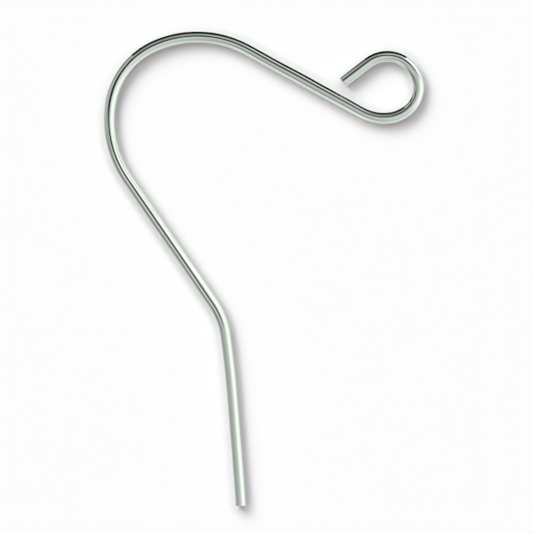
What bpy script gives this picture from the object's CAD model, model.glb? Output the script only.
# %% [markdown]
# # An ear wire, dressed for its picture
#
# The object is one length of bright silver wire, 0.7 mm thick, bent to the hook of a drop earring.
# The CAD model already holds its exact route and section. Here it gets what a maker's hands and a
# polishing drum leave on such a wire, a table to lie on, and the kind of light that jewellery is
# pictured in.
#
# Polished metal has hardly any colour of its own. What one sees on it is the room around it, so most
# of this lesson is about building that room.

# %% Load the frame
import math
import random

import bmesh
import bpy
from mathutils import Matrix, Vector


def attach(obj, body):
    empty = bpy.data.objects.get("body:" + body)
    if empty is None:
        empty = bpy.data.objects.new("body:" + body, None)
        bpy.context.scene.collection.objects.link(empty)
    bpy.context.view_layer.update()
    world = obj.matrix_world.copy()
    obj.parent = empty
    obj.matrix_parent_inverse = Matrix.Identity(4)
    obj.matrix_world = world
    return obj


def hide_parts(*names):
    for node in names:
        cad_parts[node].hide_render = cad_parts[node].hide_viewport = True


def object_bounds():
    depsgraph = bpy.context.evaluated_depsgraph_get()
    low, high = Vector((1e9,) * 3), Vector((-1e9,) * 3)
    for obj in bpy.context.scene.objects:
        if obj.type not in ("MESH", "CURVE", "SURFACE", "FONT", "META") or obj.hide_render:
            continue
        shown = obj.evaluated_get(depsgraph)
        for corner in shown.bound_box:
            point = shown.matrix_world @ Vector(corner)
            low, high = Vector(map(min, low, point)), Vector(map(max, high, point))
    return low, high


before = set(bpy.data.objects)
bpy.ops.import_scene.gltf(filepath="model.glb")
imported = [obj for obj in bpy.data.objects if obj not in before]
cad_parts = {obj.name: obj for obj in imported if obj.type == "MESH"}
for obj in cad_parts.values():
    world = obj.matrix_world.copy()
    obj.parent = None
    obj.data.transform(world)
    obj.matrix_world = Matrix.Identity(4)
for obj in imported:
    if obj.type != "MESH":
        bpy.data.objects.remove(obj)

MM = 0.001

cad_low, cad_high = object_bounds()

# %% [markdown]
# ## The wire's route
#
# On the real object the route is set by the bending jig: straight stretches, and round bends that
# were pulled around pegs. One of Blender's curves with handles could draw it, but such a curve only
# comes near a true circle, and a polished wire shows every flat spot in a bend. So the route is
# worked out from the same named sizes as the CAD model, as straights and true arcs.

# %% Sizes, the same as in the CAD model
wire_d = 0.7 * MM
wire_r = wire_d / 2
EDGE_ROUND = 0.04 * MM
tail_l = 6 * MM
tail_lean = math.radians(4.2)
bow_r, bow_turn = 95 * MM, math.radians(3.5)
kink_r, kink_turn = 4.9 * MM, math.radians(27)
leg_l = 10.2 * MM
rear_r, rear_turn = 7.05 * MM, math.radians(43.5)
mid_r, mid_turn = 5.2 * MM, math.radians(58.5)
front_r, front_turn = 7.1 * MM, math.radians(51.5)
shank_l = 8.8 * MM
neck_r, neck_turn = 3.4 * MM, math.radians(37)
eye_r, eye_turn = 2.1 * MM, math.radians(209.5)
end_l = 2.2 * MM
eye_inside = 2 * (eye_r - wire_r)
print(f"Wire: {wire_d / MM:.2f} mm thick. Eye: {eye_inside / MM:.2f} mm across inside")

# %% The stretches, from the tail's tip to the eye's cut end
# A straight has a length. A bend has a radius and a turn, both negative where it bends to the right.
ROUTE = [
    ("tail", tail_l, 0, 0),
    ("bow", 0, bow_r, bow_turn),
    ("kink", 0, kink_r, kink_turn),
    ("leg", leg_l, 0, 0),
    ("rear bend", 0, -rear_r, -rear_turn),
    ("middle bend", 0, -mid_r, -mid_turn),
    ("front bend", 0, -front_r, -front_turn),
    ("shank", shank_l, 0, 0),
    ("neck", 0, neck_r, neck_turn),
    ("eye", 0, eye_r, eye_turn),
    ("end", end_l, 0, 0),
]


def stretch_length(length, radius, turn):
    return length + radius * turn


wire_l = sum(stretch_length(*row[1:]) for row in ROUTE)
print(f"Wire cut off the coil: {wire_l / MM:.2f} mm, in {len(ROUTE)} stretches")


# %% Walk along the route
def ahead(angle):
    return Vector((math.cos(angle), math.sin(angle), 0))


def to_left(angle):
    return Vector((-math.sin(angle), math.cos(angle), 0))


def stretch_step(length, radius, turn, angle):
    """What a stretch that sets out at an angle adds to the middle line's place."""
    return length * ahead(angle) + radius * (to_left(angle) - to_left(angle + turn))


def on_route(along):
    """Place and heading of the middle line, so far from the tail's tip."""
    place, angle = Vector((0, 0, 0)), math.pi / 2 + tail_lean
    for name, length, radius, turn in ROUTE:
        here = stretch_length(length, radius, turn)
        if along <= here or name == "end":
            share = along / here
            step = stretch_step(length * share, radius, turn * share, angle)
            return place + step, angle + turn * share
        place += stretch_step(length, radius, turn, angle)
        angle += turn
        along -= here


tip_heading, end_heading = on_route(0)[1], on_route(wire_l)[1]
print(f"The wire turns by {math.degrees(end_heading - tip_heading):.1f} degrees in all")

# %% Set the route into the CAD model's frame
# The two cut ends are narrower than the wire by their rounded edge, so they reach less far. The box
# starts a metre inside out, so that the first place on the wire already corrects it.
SAMPLES = 4000
route_low, route_high = Vector((1, 1, 0)), Vector((-1, -1, 0))
for i in range(SAMPLES + 1):
    place, angle = on_route(wire_l * i / SAMPLES)
    half = wire_r - EDGE_ROUND if i in (0, SAMPLES) else wire_r
    reach_x, reach_y = half * abs(math.sin(angle)), half * abs(math.cos(angle))
    route_low.x, route_high.x = min(route_low.x, place.x - reach_x), max(route_high.x, place.x + reach_x)
    route_low.y, route_high.y = min(route_low.y, place.y - reach_y), max(route_high.y, place.y + reach_y)
origin = -(route_low + route_high) / 2 + Vector((0, 0, wire_r))
off_x, off_y = (route_low + origin - cad_low).xy
print("Route box in mm:", [round(v / MM, 3) for v in (route_high - route_low).xy])
print(f"The route is off the CAD box by {off_x / MM:.4f} and {off_y / MM:.4f} mm")

# %% [markdown]
# ## What the hands left on the wire
#
# No bent wire is perfect. It wanders a few thousandths of a millimetre off its line, and it leaves the
# jig's arcs by a few hundredths where the hand let go or pulled too far. None of this is seen as a
# shape, but the reflections on polished metal bend with it, and without it the wire looks computed.
#
# A noise modifier could do it, but it would also move the cut ends and change the size. A few slow
# waves, whose starting points come from a seeded dice, and a few places named by hand stay within the
# limits that are set here.

# %% Slow waves
SEED = 21
WANDER = 0.004 * MM
GIRTH_WANDER = WANDER / 2
# No bent wire touches a table all along. This one lies up to twice the lift above it.
LIFT = 0.002 * MM
WAVES = [9.0 * MM, 5.2 * MM, 3.1 * MM]
dice = random.Random(SEED)


def slow_waves():
    starts = [dice.uniform(0, math.tau) for _ in WAVES]

    def wave(along):
        return sum(math.sin(math.tau * along / w + s) for w, s in zip(WAVES, starts)) / len(WAVES)

    return wave


side_wave = slow_waves()
lift_wave = slow_waves()
girth_wave = slow_waves()
print("Waves: sideways, up and down, and in girth, of lengths in mm", [w / MM for w in WAVES])

# %% Where the hand left the jig's line
# Place along the wire and reach of the error, and how far it goes to the left, in mm.
HAND_ERRORS = [
    (1.5, 2, -0.02),
    (6.5, 1.5, 0.015),
    (14.5, 2.5, 0.03),
    (21, 3, 0.01),
    (31, 2, 0.005),
    (35, 1.5, -0.01),
    (38.5, 2, -0.005),
    (43.5, 1, -0.015),
    (53, 1, 0.035),
    (55, 1, -0.02),
    (57, 1, 0.01),
    (61, 2, -0.02),
]


def bell(along, place, reach):
    """1 at a place, and next to nothing two reaches away from it. Place and reach are in mm."""
    return math.exp(-(((along / MM - place) / reach) ** 2))


def aside_at(along):
    """How far the wire lies to the left of the jig's line."""
    hand = sum(way * bell(along, place, reach) for place, reach, way in HAND_ERRORS)
    return WANDER * side_wave(along) + hand * MM


farthest = max(abs(aside_at(wire_l * i / SAMPLES)) for i in range(SAMPLES + 1))
print(f"The wire leaves the jig's line by {farthest / MM:.3f} mm at most")

# %% [markdown]
# ## Tapped flat
#
# When the hook is bent, the maker taps it flat on a steel block. That makes the soft wire spring hard,
# and leaves it a hair wider and lower than the tail, which isn't tapped. The hammer never falls quite
# evenly, so the wire is wider still at the kink, on the leg and on the shank, and less so towards the
# eye's cut end.
#
# Scaling the finished mesh would widen the tail too, and change the route. So the width and the height
# are worked out for each place along the wire, and the sweep further on asks for them.

# %% Width and height along the wire
TAP_WIDER = 0.032
TAP_LOWER = 0.016
TAP_START, TAP_FULL = 11.5 * MM, 14.5 * MM
# Where the hammer came down more or less hard: place along the wire and reach, in mm, and share wider.
HARDER_TAPS = [
    (15, 3, 0.06),
    (21, 3, 0.05),
    (46.5, 3, 0.05),
    (53, 1, 0.025),
    (61, 2, -0.015),
]


def tapped_at(along):
    """0 on the tail and 1 on the hook, with an eased step at the kink."""
    share = min(max((along - TAP_START) / (TAP_FULL - TAP_START), 0), 1)
    return share * share * (3 - 2 * share)


def wider_at(along):
    """Share by which taps make the wire wider here."""
    harder = sum(more * bell(along, place, reach) for place, reach, more in HARDER_TAPS)
    return (TAP_WIDER + harder) * tapped_at(along)


def lower_at(along):
    """Share by which taps make the wire lower here."""
    return TAP_LOWER * tapped_at(along)


SPOTS = {"tail": 3 * MM, "leg": 16 * MM, "crown": 40 * MM}
for name, along in SPOTS.items():
    wide, tall = wire_d * (1 + wider_at(along)), wire_d * (1 - lower_at(along))
    print(f"On the {name}: {wide / MM:.4f} mm wide and {tall / MM:.4f} mm high")

# %% [markdown]
# ## Sweeping the section
#
# A curve with a bevel would give the tube in one step. It gives no say over the cut ends, though, and
# no values to hang the finish on. So rings of points are laid across the route by hand and skinned,
# and each point also stores where it sits: how far along the wire, and on which side of the section.
#
# At both ends a few shrinking rings break the sharp edge. The tail's tip is snipped a touch short of
# the drawn length, as hand-cut wire is.

# %% Rings along the wire
SIDES = 72
RING_STEP = 0.11 * MM
EDGE_STEPS = 5
SNIPPED_SHORT = 0.04 * MM

# A ring is a place along the wire, and how much smaller than the wire it is.
edge_rings = []
for i in range(EDGE_STEPS):
    lean = math.pi / 2 * i / EDGE_STEPS
    edge_rings.append((EDGE_ROUND * (1 - math.cos(lean)), EDGE_ROUND * (1 - math.sin(lean))))

body_l = wire_l - SNIPPED_SHORT - 2 * EDGE_ROUND
body_count = round(body_l / RING_STEP)
rings = [(SNIPPED_SHORT + along, smaller) for along, smaller in edge_rings]
rings += [(SNIPPED_SHORT + EDGE_ROUND + body_l * i / body_count, 0) for i in range(body_count + 1)]
rings += [(wire_l - along, smaller) for along, smaller in reversed(edge_rings)]
print("Rings:", len(rings), "with", SIDES, "points each")

# %% One ring
UP = Vector((0, 0, 1))


def section_at(along):
    """Middle of the section with its wander, its way to the left, and its half width and height."""
    place, angle = on_route(along)
    girth = wire_r + GIRTH_WANDER * girth_wave(along)
    half_left = girth * (1 + wider_at(along))
    half_up = girth * (1 - lower_at(along))
    left = to_left(angle)
    middle = origin + place + left * aside_at(along)
    middle.z = half_up + LIFT * (1 + lift_wave(along))
    return middle, left, half_left, half_up


def ring_points(along, smaller):
    """The ring's points, each with its place on the wire."""
    middle, left, half_left, half_up = section_at(along)
    points = []
    for k in range(SIDES):
        turn = math.tau * k / SIDES
        aside = left * ((half_left - smaller) * math.sin(turn))
        above = UP * ((half_up - smaller) * math.cos(turn))
        points.append((middle + aside + above, (along / MM, math.sin(turn), math.cos(turn))))
    return points


lowest = min(point.z for row in rings for point, _ in ring_points(*row))
print(f"The lowest point of the wire is {lowest / MM:.4f} mm over the table")

# %% Skin the rings
mesh = bmesh.new()
finish_layer = mesh.verts.layers.float_vector.new("wire_place")


def add_ring(points):
    ring = []
    for point, wire_place in points:
        vert = mesh.verts.new(point)
        vert[finish_layer] = wire_place
        ring.append(vert)
    return ring


def skin(ring, next_ring):
    """Joins two rings with a band of four-sided faces."""
    for k in range(SIDES):
        m = (k + 1) % SIDES
        mesh.faces.new((ring[k], ring[m], next_ring[m], next_ring[k]))


wire_rings = [add_ring(ring_points(along, smaller)) for along, smaller in rings]
for ring, next_ring in zip(wire_rings, wire_rings[1:]):
    skin(ring, next_ring)
print("Faces on the wire's length:", len(mesh.faces))

# %% [markdown]
# ## The cut ends
#
# The wire was snipped off the coil. A side cutter parts wire from both sides, so the face it leaves
# isn't flat: a shallow valley or ridge runs across it where the jaws met, with fine shear lines beside
# it. A boolean cut would leave one many-sided face. Here the face is a few rings deep, pressed in by
# the height of that mark, so that it takes light as a cut end does.

# %% The cutter's mark
CUT_DEPTH = 0.012 * MM
CUT_WIDTH = 0.11 * MM
SHEAR_DEPTH = 0.002 * MM
SHEAR_STEP = 0.045 * MM


def cut_mark(aside, above, lean):
    """How far the cut face lies behind the wire's end, at a place on the face."""
    across = aside * math.cos(lean) + above * math.sin(lean)
    valley = 1 - math.exp(-((across / CUT_WIDTH) ** 2))
    shear = 0.5 + 0.5 * math.cos(math.tau * across / SHEAR_STEP)
    return CUT_DEPTH * valley + SHEAR_DEPTH * shear


print(f"The cutter's mark is at most {(CUT_DEPTH + SHEAR_DEPTH) / MM:.3f} mm deep")

# %% Close the ends
# Each share is a ring's size on the face. The mark fades out towards the rim, which stays even.
FACE_SHARES = [0.86, 0.68, 0.48, 0.27, 0.11]
FULL_MARK_SHARE = FACE_SHARES[1]
# How far the cutter was turned round the wire, in radians.
TIP_CUT_LEAN, EYE_CUT_LEAN = 0.35, -0.5


def close_end(rim, along, inward, lean):
    """Closes the rim with rings that shrink towards the middle of the cut face."""
    middle, left, half_left, half_up = section_at(along)
    rim_left, rim_up = half_left - EDGE_ROUND, half_up - EDGE_ROUND
    outer = rim
    for share in FACE_SHARES:
        points = []
        for k in range(SIDES):
            turn = math.tau * k / SIDES
            aside, above = rim_left * share * math.sin(turn), rim_up * share * math.cos(turn)
            ease = min(1, (1 - share) / (1 - FULL_MARK_SHARE))
            deep = cut_mark(aside, above, lean) * ease
            point = middle + left * aside + UP * above + inward * deep
            points.append((point, (along / MM, share * math.sin(turn), share * math.cos(turn))))
        inner = add_ring(points)
        skin(outer, inner)
        outer = inner
    centre = mesh.verts.new(middle + inward * cut_mark(0, 0, lean))
    centre[finish_layer] = (along / MM, 0, 0)
    for k in range(SIDES):
        mesh.faces.new((outer[k], outer[(k + 1) % SIDES], centre))


close_end(wire_rings[0], SNIPPED_SHORT, ahead(tip_heading), TIP_CUT_LEAN)
close_end(wire_rings[-1], wire_l, -ahead(end_heading), EYE_CUT_LEAN)
print("Faces with both ends closed:", len(mesh.faces))

# %% From mesh code to a piece
bmesh.ops.recalc_face_normals(mesh, faces=mesh.faces)
for face in mesh.faces:
    face.smooth = True
open_edges = [e for e in mesh.edges if len(e.link_faces) != 2]
print("Open edges:", len(open_edges), "  volume in mm3:", round(mesh.calc_volume() / MM ** 3, 2))

wire_mesh = bpy.data.meshes.new("bent_wire")
mesh.to_mesh(wire_mesh)
mesh.free()
bent_wire = bpy.data.objects.new("bent_wire", wire_mesh)
bpy.context.scene.collection.objects.link(bent_wire)
print("Triangles:", sum(len(p.vertices) - 2 for p in wire_mesh.polygons))

# %% [markdown]
# ## The finish: bright silver plate
#
# The wire is plated, so it is metal through and through to the eye: its reflections carry its colour.
# One colour and one roughness would do for a wire seen from afar. Close up, plating is a shade warmer
# or cooler from place to place, so two shades are mixed by a slow cloud of noise.
#
# The noise reads the place that is stored in the mesh. So it follows the wire round its bends, which a
# texture laid over the whole object would not.

# %% A helper for nodes
silver = bpy.data.materials.new("bright_silver_plate")
silver.use_nodes = True
silver_tree = silver.node_tree
gloss = silver_tree.nodes["Principled BSDF"]


def add_node(tree, kind, settings=None, inputs=None):
    """Adds a node, sets its options, and fills or links its inputs."""
    node = tree.nodes.new(kind)
    for name, value in (settings or {}).items():
        setattr(node, name, value)
    for name, value in (inputs or {}).items():
        if isinstance(value, bpy.types.NodeSocket):
            tree.links.new(value, node.inputs[name])
        else:
            node.inputs[name].default_value = value
    return node


wire_place = add_node(silver_tree, "ShaderNodeAttribute", {"attribute_name": "wire_place"})
print("The finish reads the stored value", wire_place.attribute_name)

# %% Noise that follows the wire
NOISE_ROUGHNESS = 0.55


def wire_noise(detail, marks_along, marks_across):
    """Noise with about so many marks to a millimetre of the wire, and to half its width."""
    placed = add_node(
        silver_tree,
        "ShaderNodeVectorMath",
        {"operation": "MULTIPLY"},
        {0: wire_place.outputs["Vector"], 1: (marks_along, marks_across, marks_across)},
    )
    noise = add_node(
        silver_tree,
        "ShaderNodeTexNoise",
        {},
        {"Vector": placed.outputs["Vector"], "Scale": 1, "Detail": detail, "Roughness": NOISE_ROUGHNESS},
    )
    return noise.outputs["Fac"]


CLOUD_DETAIL, CLOUDS_ALONG, CLOUDS_ACROSS = 3, 0.35, 1.1
cloud = wire_noise(CLOUD_DETAIL, CLOUDS_ALONG, CLOUDS_ACROSS)
print("A cloud of one shade is about", round(1 / CLOUDS_ALONG, 1), "mm long")

# %% Colour
SILVER = (0.815, 0.85, 0.81, 1)
SILVER_SHADE = (0.785, 0.825, 0.785, 1)
# Where Blender's Mix node keeps its factor, its two colours and its colour result.
MIX_FACTOR, MIX_A, MIX_B = 0, 6, 7
MIX_RESULT = 2

plate_colour = add_node(
    silver_tree,
    "ShaderNodeMix",
    {"data_type": "RGBA"},
    {MIX_FACTOR: cloud, MIX_A: SILVER_SHADE, MIX_B: SILVER},
)
silver_tree.links.new(plate_colour.outputs[MIX_RESULT], gloss.inputs["Base Color"])
gloss.inputs["Metallic"].default_value = 1
print("Silver reflects", SILVER[:3], "of red, green and blue light")

# %% [markdown]
# ## Hairlines and tumbling marks
#
# The die that the wire was drawn through leaves hairlines along it: long, very fine and shallow.
# Tumbling in steel shot then leaves a faint, soft unevenness all over. The hairlines could be cut into
# the mesh, but at this fineness it would take millions of faces. So they are bumps in the material,
# under half a thousandth of a millimetre deep, and the same hairlines blur the gloss a little.

# %% Roughness
ROUGH_LOW, ROUGH_HIGH = 0.03, 0.08
HAIR_DETAIL, HAIRS_ALONG, HAIRS_ACROSS = 4, 0.12, 26
HAIR_FAINT, HAIR_STRONG = 0.3, 0.75

hairlines = wire_noise(HAIR_DETAIL, HAIRS_ALONG, HAIRS_ACROSS)
rough = add_node(
    silver_tree,
    "ShaderNodeMapRange",
    {},
    {
        "Value": hairlines,
        "From Min": HAIR_FAINT,
        "From Max": HAIR_STRONG,
        "To Min": ROUGH_LOW,
        "To Max": ROUGH_HIGH,
    },
)
silver_tree.links.new(rough.outputs["Result"], gloss.inputs["Roughness"])
print("Roughness from", ROUGH_LOW, "to", ROUGH_HIGH)

# %% Bumps
TUMBLE_DETAIL, TUMBLES_ALONG, TUMBLES_ACROSS = 3, 2.2, 2.4
TUMBLE_DEPTH = 0.0012 * MM
HAIR_DEPTH = 0.00035 * MM

tumbling = wire_noise(TUMBLE_DETAIL, TUMBLES_ALONG, TUMBLES_ACROSS)
tumbled = add_node(silver_tree, "ShaderNodeBump", {}, {"Height": tumbling, "Distance": TUMBLE_DEPTH})
drawn = add_node(
    silver_tree,
    "ShaderNodeBump",
    {},
    {"Height": hairlines, "Distance": HAIR_DEPTH, "Normal": tumbled.outputs["Normal"]},
)
silver_tree.links.new(drawn.outputs["Normal"], gloss.inputs["Normal"])
bent_wire.data.materials.append(silver)
print("Nodes in the finish:", len(silver_tree.nodes))

# %% [markdown]
# ## Tying the piece to the frame
#
# On the real object there is nothing to tie: it is one wire. In the frame, though, a new piece has to
# say which body it moves with and which CAD node it stands for. Parenting by hand could do the first,
# but the frame's own calls also write it down for the export, so they are used.

# %% Tie it
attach(bent_wire, "root")
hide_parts("ear_wire")
print(bent_wire.name, "stands for the CAD model's one node")

# %% [markdown]
# ## The table
#
# The wire lies on a pale, matt surface. A plain square of mesh is enough for that, with no shine of
# its own. It is kept out of the metal's reflections: what the wire mirrors is set by the studio alone,
# as when a piece is pictured on glass over a lit sheet.

# %% Table
TABLE_HALF = 3.0
MATT_WHITE = (0.9, 0.9, 0.9, 1)
QUAD = [(0, 1, 2, 3)]
corners = [(-1, -1), (1, -1), (1, 1), (-1, 1)]

table_mesh = bpy.data.meshes.new("table")
table_mesh.from_pydata([(x * TABLE_HALF, y * TABLE_HALF, 0) for x, y in corners], [], QUAD)
table = bpy.data.objects.new("table", table_mesh)
bpy.context.scene.collection.objects.link(table)
table.visible_glossy = False

paper = bpy.data.materials.new("matt_white")
paper.use_nodes = True
paper_gloss = paper.node_tree.nodes["Principled BSDF"]
paper_gloss.inputs["Base Color"].default_value = MATT_WHITE
paper_gloss.inputs["Roughness"].default_value = 1
paper_gloss.inputs["Specular IOR Level"].default_value = 0
table.data.materials.append(paper)
print("Table:", 2 * TABLE_HALF, "m across")

# %% [markdown]
# ## The studio that the wire mirrors
#
# A round wire mirrors half of the room in a strip a few pixels wide: straight up along its middle, the
# far left and right walls at its flanks, and what lies below the table's height at its very edges. The
# streaks on a pictured wire are lamps, walls and gaps, squeezed thin.
#
# Lamps of mesh would do for this, and so would a picture of a room, which this script doesn't load.
# The world is made of nodes instead: a soft grey, and panels that are soft patches round a direction.
# A panel with a strength below nothing takes light away, as a black flag on a stand does.

# %% A world of nodes
studio = bpy.data.worlds.new("studio")
bpy.context.scene.world = studio
studio.use_nodes = True
studio_tree = studio.node_tree
backdrop = studio_tree.nodes["Background"]
looking = add_node(studio_tree, "ShaderNodeTexCoord").outputs["Generated"]


def direction(azimuth, zenith):
    """Unit vector of a direction, in degrees round from +X and down from straight above."""
    a, z = math.radians(azimuth), math.radians(zenith)
    return (math.sin(z) * math.cos(a), math.sin(z) * math.sin(a), math.cos(z))


def math_node(operation, *values):
    node = add_node(studio_tree, "ShaderNodeMath", {"operation": operation}, dict(enumerate(values)))
    return node.outputs[0]


print("The world is lit by the node", backdrop.name)

# %% The room's grey, and how a panel adds to it
ROOM = 0.41
light = ROOM


def panel(light, azimuth, zenith, half_width, strength):
    """Adds a soft patch to the light. So many degrees off its middle it is half as bright."""
    tightness = math.log(2) / (1 - math.cos(math.radians(half_width)))
    facing = add_node(
        studio_tree,
        "ShaderNodeVectorMath",
        {"operation": "DOT_PRODUCT"},
        {0: looking, 1: direction(azimuth, zenith)},
    ).outputs["Value"]
    power = math_node("MULTIPLY_ADD", facing, tightness, -tightness)
    return math_node("MULTIPLY_ADD", math_node("EXPONENT", power), strength, light)


print("Light between the panels:", ROOM)

# %% Panels and flags
# Each has its azimuth, zenith angle and half width in degrees, and its strength.
PANELS = {
    "tall softbox on the right": (0, 55, 58, 0.88),
    "flag at the front left": (220, 77, 40, -0.95),
    "strip lamp in front of that flag": (210, 43, 9, 0.75),
    "flag behind": (66, 40, 24, -1.45),
    "lamp low in front": (238, 83, 18, 1.2),
    "flag at the front right": (310, 55, 18, -0.4),
    "small lamp high at the right": (37, 34, 10, 1.45),
    "small lamp low at the right": (52, 65, 15, 1.35),
    "small lamp behind": (82, 40, 11, 1.2),
    "small flag low behind on the left": (140, 105, 15, -0.45),
    "table seen low on the left": (185, 75, 30, 0.4),
    "table seen low in front": (250, 135, 55, 0.55),
}
for azimuth, zenith, half_width, strength in PANELS.values():
    light = panel(light, azimuth, zenith, half_width, strength)
print("Panels and flags:", len(PANELS))

# %% [markdown]
# ## The dark curtain behind
#
# The real wire has a black rim wherever one of its sides faces the back of the studio, and that rim
# starts and ends sharply. A panel is too soft for that. A black cloth gives the straight edges: it
# hangs from above the table's height to below it, and reaches from one azimuth to another. It is built
# from soft steps over the two angles of the looking direction, and takes the light away by its share.
# Even a black cloth gives back a little light, so the light never falls below a small value.


# %% Soft steps over an angle
def soft_step(value, start, soft):
    """0 below the start, 1 above it, with a soft edge between."""
    edges = {"From Min": start - soft / 2, "From Max": start + soft / 2}
    return add_node(
        studio_tree,
        "ShaderNodeMapRange",
        {"interpolation_type": "SMOOTHSTEP"},
        {"Value": value, **edges, "To Min": 0, "To Max": 1},
    ).outputs["Result"]


def rest_of(value):
    return math_node("SUBTRACT", 1, value)


def between(value, start, end, soft):
    """1 between a start and an end, and 0 outside them."""
    return math_node("MULTIPLY", soft_step(value, start, soft), rest_of(soft_step(value, end, soft)))


axes = add_node(studio_tree, "ShaderNodeSeparateXYZ", {}, {0: looking}).outputs
round_from_x = math_node("DEGREES", math_node("ARCTAN2", axes["Y"], axes["X"]))
down_from_top = math_node("DEGREES", math_node("ARCCOSINE", axes["Z"]))
print("Angles in the world: round from +X, and down from straight above")

# %% Curtain
CURTAIN_RIGHT, CURTAIN_LEFT, SIDE_SOFT = 57, 125, 3
CURTAIN_TOP, CURTAIN_BOTTOM, TOP_SOFT = 70, 170, 10
DIMMEST = 0.01
curtain = math_node(
    "MULTIPLY",
    between(round_from_x, CURTAIN_RIGHT, CURTAIN_LEFT, SIDE_SOFT),
    between(down_from_top, CURTAIN_TOP, CURTAIN_BOTTOM, TOP_SOFT),
)
light = math_node("MULTIPLY", light, rest_of(curtain))
light = math_node("MAXIMUM", light, DIMMEST)
print("The curtain covers", CURTAIN_LEFT - CURTAIN_RIGHT, "degrees of the room")

# %% [markdown]
# ## Who sees the studio
#
# Such a world would also light the table, and tint its shadows with every lamp that the wire mirrors.
# A photographer keeps the two apart with screens. Here the Light Path node does it. It says what kind
# of ray is asking:
#
# - a ray that the metal mirrored sees the studio, and sees it dimmer when it was mirrored twice, as
#   inside the eye, where the wire faces itself;
# - a ray that left the table first and then met the metal sees one even grey. That is the light which
#   the wire throws back on the table, and the table gets no other light from this world;
# - a ray straight from the camera sees a white backdrop.

# %% Kinds of ray
# Depths are whole numbers, so a half stands between them.
ONE_OR_MORE, TWO_OR_MORE = 0.5, 1.5
rays = add_node(studio_tree, "ShaderNodeLightPath").outputs
glossy = rays["Is Glossy Ray"]
off_table = math_node("GREATER_THAN", rays["Diffuse Depth"], ONE_OR_MORE)
off_metal_again = math_node("GREATER_THAN", rays["Glossy Depth"], TWO_OR_MORE)
mirrored_at_all = math_node("MULTIPLY", glossy, rest_of(off_table))
thrown = math_node("MULTIPLY", glossy, off_table)
print("Kinds of ray: mirrored by the metal, thrown on the table, straight from the camera")

# %% What each ray sees
MIRRORED_TWICE = 0.3
METAL_ON_TABLE = 0.46
BACKDROP = 0.98
WHITE = (1, 1, 1, 1)
STUDIO_TINT = (0.955, 1, 0.955, 1)

seen_share = math_node("MULTIPLY_ADD", off_metal_again, MIRRORED_TWICE - 1, 1)
mirrored = math_node("MULTIPLY", mirrored_at_all, seen_share)
world_light = math_node("MULTIPLY", thrown, METAL_ON_TABLE)
world_light = math_node("MULTIPLY_ADD", mirrored, light, world_light)
world_light = math_node("MULTIPLY_ADD", rays["Is Camera Ray"], BACKDROP, world_light)
studio_tree.links.new(world_light, backdrop.inputs["Strength"])
tint = add_node(
    studio_tree,
    "ShaderNodeMix",
    {"data_type": "RGBA"},
    {MIX_FACTOR: mirrored, MIX_A: WHITE, MIX_B: STUDIO_TINT},
)
studio_tree.links.new(tint.outputs[MIX_RESULT], backdrop.inputs["Color"])
# Nothing is lit by this world directly, so Cycles needn't search it for bright places.
studio.cycles.sampling_method = "NONE"
print("Nodes in the world:", len(studio_tree.nodes))

# %% [markdown]
# ## Black cards round the hook
#
# A fine dark line runs along the middle of the real hook, but not along its tail, and it stops and
# starts again on the eye. Something so near casts it that it is mirrored in one part of the wire and not
# in another, so it can't be part of a world that is endlessly far off. Five pieces of black card hang
# over the hook, and a sixth stands behind the crown, where the black rim starts at a stroke. Only the
# gloss sees them: they cast no shadow, and the camera looks through them.

# %% Black card
CARD_GLOW = 0.03
card_black = bpy.data.materials.new("black_card")
card_black.use_nodes = True
card_tree = card_black.node_tree
card_glow = add_node(card_tree, "ShaderNodeEmission", {}, {"Strength": CARD_GLOW})
card_tree.links.new(card_glow.outputs[0], card_tree.nodes["Material Output"].inputs["Surface"])


def add_card(name, corners):
    """Adds a black card that only the gloss sees. Its four corners are in mm."""
    card_mesh = bpy.data.meshes.new(name)
    card_mesh.from_pydata([Vector(corner) * MM for corner in corners], [], QUAD)
    card_mesh.materials.append(card_black)
    card = bpy.data.objects.new(name, card_mesh)
    bpy.context.scene.collection.objects.link(card)
    card.visible_camera = card.visible_diffuse = card.visible_shadow = False
    card.visible_transmission = card.visible_volume_scatter = False


print("A card glows with", CARD_GLOW, "of a white sheet's light")

# %% The cards that hang
# Each has its height over the table, and its four corners.
HANGING_CARDS = {
    "card_over_leg": (6, [(-2.5, -4), (-9.5, 8), (-11.5, 7), (-5, -4)]),
    "card_over_crown": (19, [(-6.5, 6.5), (-21, 29), (-17, 7), (-10.5, 1)]),
    "card_over_shank": (21, [(-26, 10), (27, 28), (13, 27), (-30, 24)]),
    "card_over_neck": (16, [(5, 19), (7, 19), (23, 21), (13, 24)]),
    "card_over_eye": (14, [(32, 16.5), (-7, 26), (1, 16.5), (22, 16.5)]),
}
for name, (up, corners) in HANGING_CARDS.items():
    add_card(name, [(x, y, up) for x, y in corners])
print("Cards that hang:", ", ".join(HANGING_CARDS))

# %% The card that stands
CARD_LEFT, CARD_RIGHT = (-22, 29.5), (-17.5, 33)
CARD_FOOT, CARD_TOP = -30, 11
add_card(
    "card_behind_crown",
    [(*CARD_LEFT, CARD_FOOT), (*CARD_RIGHT, CARD_FOOT), (*CARD_RIGHT, CARD_TOP), (*CARD_LEFT, CARD_TOP)],
)
print("Cards in all:", len(HANGING_CARDS) + 1)

# %% [markdown]
# ## Soft light for the table
#
# The shadow beside the wire says where the light is. It is crisp at its outer edge, and it lies on both
# sides of the leg, which points at the light. One soft lamp can't do both. A long softbox can, bent in
# an arc round the upper left, with weaker light from the other sides to fill the shadow. Sun lamps with
# a wide disc stand in for its parts: they light the whole table evenly, which lamps a metre away don't.
# Each gets a share of the light that the table needs, so they can be moved without making it grey.

# %% Lamps
TABLE_LIGHT = 3.6
LAMP_WIDE = math.radians(25)
KEY_COLOUR = (0.93, 0.97, 0.95)
FILL_COLOUR = (1, 0.9, 0.95)
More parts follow.
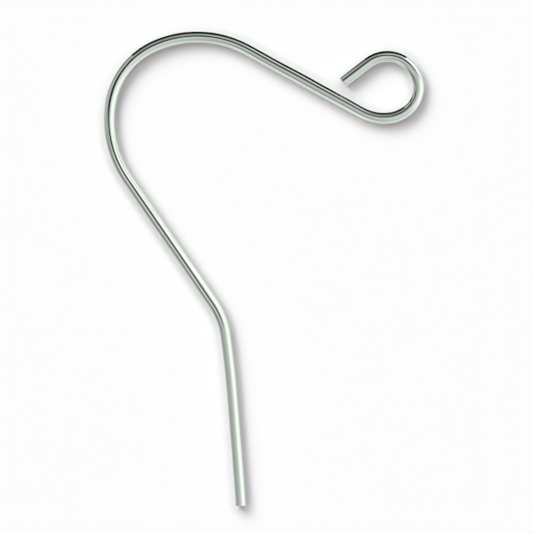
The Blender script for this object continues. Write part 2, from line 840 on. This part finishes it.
# Each lamp has its azimuth and zenith angle in degrees, its share of the light, and its colour.
LAMPS = {
    "key_back": (100, 60, 0.12, KEY_COLOUR),
    "key_middle": (120, 60, 0.13, KEY_COLOUR),
    "key_front": (140, 60, 0.20, KEY_COLOUR),
    "key_high_back": (60, 45, 0.14, KEY_COLOUR),
    "key_high_front": (150, 45, 0.13, KEY_COLOUR),
    "fill_left": (180, 60, 0.04, FILL_COLOUR),
    "fill_front_left": (210, 45, 0.10, FILL_COLOUR),
    "fill_front": (270, 45, 0.05, FILL_COLOUR),
    "fill_right": (0, 45, 0.09, FILL_COLOUR),
}
for name, (azimuth, zenith, share, colour) in LAMPS.items():
    lamp_data = bpy.data.lights.new(name, "SUN")
    lamp_data.angle = LAMP_WIDE
    lamp_data.energy = TABLE_LIGHT * share / math.cos(math.radians(zenith))
    lamp_data.color = colour
    lamp = bpy.data.objects.new(name, lamp_data)
    bpy.context.scene.collection.objects.link(lamp)
    lamp.rotation_euler = Vector(direction(azimuth, zenith)).to_track_quat("Z", "Y").to_euler()
    lamp.visible_glossy = False
share_sum = sum(share for _, _, share, _ in LAMPS.values())
print("Lamps:", len(LAMPS), " sum of their shares:", round(share_sum, 3))

# %% [markdown]
# ## The camera
#
# The picture is taken from straight above, and the whole hook lies in it with air all round. An
# orthographic camera would show the same outline, but each part of a polished wire is then seen from
# one and the same direction. A real camera sees it from slightly different ones, so this one has a
# lens. It hangs 0.3 m over the wire, and the lens is worked out from the width that the frame takes in.
#
# The Standard view shows white paper as white. Blender's usual one would make it grey.

# %% Camera
FRAME_W = 36.223 * MM
FRAME_MIDDLE_X, FRAME_MIDDLE_Y = 0.181 * MM, 0.186 * MM
CAMERA_UP = 0.3
SENSOR = 36
NEAREST_SEEN, FARTHEST_SEEN = 0.01, 10

camera_data = bpy.data.cameras.new("camera")
camera_data.sensor_width = SENSOR
camera_data.lens = SENSOR * CAMERA_UP / FRAME_W
camera_data.clip_start = NEAREST_SEEN
camera_data.clip_end = FARTHEST_SEEN
camera = bpy.data.objects.new("camera", camera_data)
camera.location = (FRAME_MIDDLE_X, FRAME_MIDDLE_Y, wire_r + CAMERA_UP)
bpy.context.scene.collection.objects.link(camera)
bpy.context.scene.camera = camera
bpy.context.scene.view_settings.view_transform = "Standard"
print(f"Lens: {camera_data.lens:.1f} mm on a sensor {SENSOR} mm wide")

# %% [markdown]
# ## Measuring, and handing over
#
# Dressing the wire must not change its size. So its box is measured once more and written down beside
# the CAD model's, for whoever checks the two against each other. The last line hands the scene over.

# %% Measure, and finish
bpy.context.view_layer.update()
